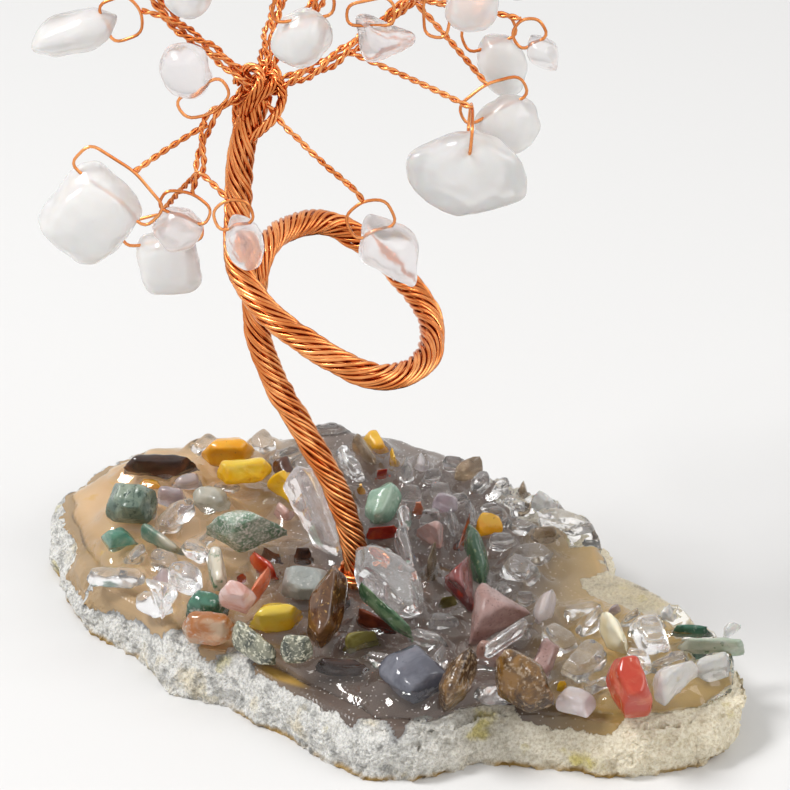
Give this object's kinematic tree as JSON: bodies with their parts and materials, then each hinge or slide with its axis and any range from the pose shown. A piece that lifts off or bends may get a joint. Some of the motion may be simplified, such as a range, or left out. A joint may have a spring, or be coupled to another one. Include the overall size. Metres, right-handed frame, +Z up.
{
  "type": "gemstone tree ornament",
  "caption": "Table ornament: a tree of twisted copper wire hung with tumbled stones, rising from a slice of agate strewn with polished stone chips set in clear resin.",
  "frame": {"origin": "centre of the slice's flat underside, where it stands", "axes": "+Z up, -Y towards the viewer of the picture, +X to the viewer's right"},
  "size_m": [0.0953, 0.0829, 0.1456],
  "materials": {
    "agate": "chalky rough rind round a polished, banded face",
    "clear_resin": "glossy poured resin over the slice",
    "copper_wire": "bright drawn copper wire, twisted",
    "clear_quartz": "tumbled clear quartz, glossy",
    "milky_quartz": "tumbled milky quartz, soft gloss",
    "rose_quartz": "tumbled pale rose quartz",
    "amber_agate": "glossy orange-yellow, translucent",
    "yellow_quartz": "glossy yellow, translucent",
    "dark_agate": "polished near-black",
    "smoky_quartz": "glossy smoky brown, translucent",
    "red_agate": "glossy red, translucent edges",
    "banded_red_agate": "polished, pale bands",
    "orange_agate": "glossy orange, translucent",
    "pink_quartz": "polished pink",
    "moss_agate": "polished, green speckles and a yellow inclusion",
    "speckled_jasper": "polished, white and green specks",
    "dark_green_jasper": "polished, pale veins",
    "grey_green_jasper": "frosted to polished",
    "teal_quartz": "glossy blue-green",
    "pale_jade": "polished, slightly translucent",
    "dark_jade": "polished leaf green",
    "green_aventurine": "polished green with fine sparkle",
    "cream_agate": "polished cream",
    "mauve_agate": "polished mauve-brown",
    "lilac_quartz": "glossy pale lilac",
    "tiger_eye": "polished, silky golden bands",
    "bronze_agate": "polished rusty brown",
    "red_brown_jasper": "polished red-brown",
    "olive_agate": "glossy olive",
    "brown_pink_agate": "polished brownish pink",
    "streaked_quartz": "clear with rusty streaks",
    "blue_grey_agate": "polished, half sunk in resin",
    "red_jasper": "polished, bright red edge"
  },
  "bodies": {
    "tree": {"agate_slice": "agate", "amber_stones": "amber_agate", "back_limb": "copper_wire", "blue_grey_stone": "blue_grey_agate", "bronze_stones": "bronze_agate", "brown_pink_stone": "brown_pink_agate", "clear_crown_stones": "clear_quartz", "clear_quartz_shell": "clear_quartz", "clear_stones_back": "clear_quartz", "clear_stones_left": "clear_quartz", "clear_stones_right": "clear_quartz", "cream_almond": "cream_agate", "crown_knot": "copper_wire", "dark_green_stones": "dark_green_jasper", "dark_jade_leaf": "dark_jade", "dark_stones": "dark_agate", "front_limb": "copper_wire", "green_stick": "green_aventurine", "grey_green_stones": "grey_green_jasper", "left_limb": "copper_wire", "lilac_stones": "lilac_quartz", "lower_left_limb": "copper_wire", "main_limb": "copper_wire", "mauve_stones": "mauve_agate", "milky_crown_stones": "milky_quartz", "milky_stones": "milky_quartz", "moss_agate_lens": "moss_agate", "olive_stones": "olive_agate", "orange_stones": "orange_agate", "pale_green_stones": "green_aventurine", "pale_jade_leaf": "pale_jade", "pink_stones": "pink_quartz", "red_agate_block": "banded_red_agate", "red_brown_stones": "red_brown_jasper", "red_jasper_pyramid": "red_jasper", "red_stones": "red_agate", "resin_glaze": "clear_resin", "right_limb": "copper_wire", "root_wraps": "copper_wire", "rose_crown_stones": "rose_quartz", "rose_quartz_wedge": "rose_quartz", "smoky_stones": "smoky_quartz", "speckled_stones": "speckled_jasper", "streaked_stone": "streaked_quartz", "teal_stone": "teal_quartz", "tiger_eye_fang": "tiger_eye", "trunk_rope": "copper_wire", "yellow_stones": "yellow_quartz"},
    "loose_stone_1": {"hung_stone_1": "milky_quartz"},
    "loose_stone_2": {"hung_stone_2": "clear_quartz"},
    "loose_stone_3": {"hung_stone_3": "milky_quartz"},
    "loose_stone_4": {"hung_stone_4": "rose_quartz"},
    "loose_stone_5": {"hung_stone_5": "milky_quartz"},
    "loose_stone_6": {"hung_stone_6": "milky_quartz"},
    "loose_stone_7": {"hung_stone_7": "clear_quartz"},
    "loose_stone_8": {"hung_stone_8": "clear_quartz"},
    "loose_stone_9": {"hung_stone_9": "milky_quartz"}
  },
  "joints": [
    {"name": "swing_1", "type": "hinge", "parent": "tree", "child": "loose_stone_1", "pos_m": [-0.03495, -0.01393, 0.06627], "axis": [0.7193, 0, -0.6947], "range_deg": [-25, 25]},
    {"name": "swing_2", "type": "hinge", "parent": "tree", "child": "loose_stone_2", "pos_m": [-0.00211, -0.01294, 0.06109], "axis": [0.9136, 0, 0.4067], "range_deg": [-25, 25]},
    {"name": "swing_3", "type": "hinge", "parent": "tree", "child": "loose_stone_3", "pos_m": [-0.01076, -0.01591, 0.09], "axis": [0.9397, 0.342, 0], "range_deg": [-25, 25]},
    {"name": "swing_4", "type": "hinge", "parent": "tree", "child": "loose_stone_4", "pos_m": [-0.00108, -0.01723, 0.08976], "axis": [1, 0, 0], "range_deg": [-25, 25]},
    {"name": "swing_5", "type": "hinge", "parent": "tree", "child": "loose_stone_5", "pos_m": [0.01283, -0.00736, 0.07494], "axis": [0.8925, 0.1574, 0.4226], "range_deg": [-25, 25]},
    {"name": "swing_6", "type": "hinge", "parent": "tree", "child": "loose_stone_6", "pos_m": [0.01214, 0.00125, 0.08026], "axis": [0.9272, 0, 0.3746], "range_deg": [-25, 25]},
    {"name": "swing_7", "type": "hinge", "parent": "tree", "child": "loose_stone_7", "pos_m": [-0.04288, -0.01492, 0.09992], "axis": [0.6428, 0.766, 0], "range_deg": [-25, 25]},
    {"name": "swing_8", "type": "hinge", "parent": "tree", "child": "loose_stone_8", "pos_m": [-0.02, 0.01808, 0.08712], "axis": [0.1736, 0.9848, 0], "range_deg": [-25, 25]},
    {"name": "swing_9", "type": "hinge", "parent": "tree", "child": "loose_stone_9", "pos_m": [0.02928, -0.01228, 0.10104], "axis": [0.5, 0.866, 0], "range_deg": [-25, 25]}
  ]
}
